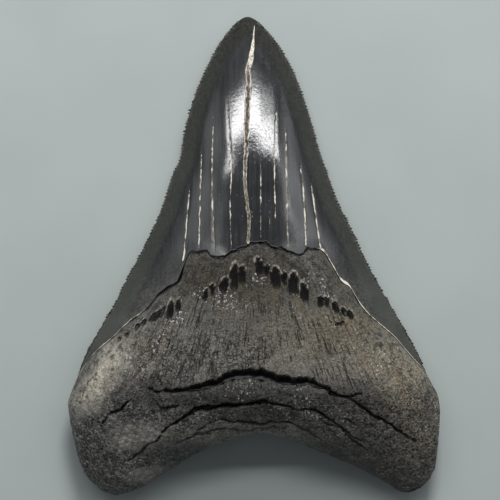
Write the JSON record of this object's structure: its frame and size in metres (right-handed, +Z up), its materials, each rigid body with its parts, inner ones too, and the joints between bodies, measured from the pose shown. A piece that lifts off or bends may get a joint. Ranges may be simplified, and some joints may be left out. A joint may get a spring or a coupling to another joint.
{
  "type": "megalodon tooth",
  "caption": "Fossil shark tooth lying on its flat outer face: a dark enamel crown with serrated edges on a thick, arched, two-lobed root with drying cracks.",
  "frame": {"origin": "middle of the bounding box's underside, in the plane that the tooth rests on", "axes": "+Y from the root towards the point, +X across the tooth, +Z up out of the domed inner face"},
  "size_m": [0.0947, 0.1222, 0.0239],
  "materials": {
    "fossil_tooth": "polished dark enamel on the crown, dull porous grey-brown on the root"
  },
  "bodies": {
    "root": {"tooth": "fossil_tooth"}
  },
  "joints": []
}
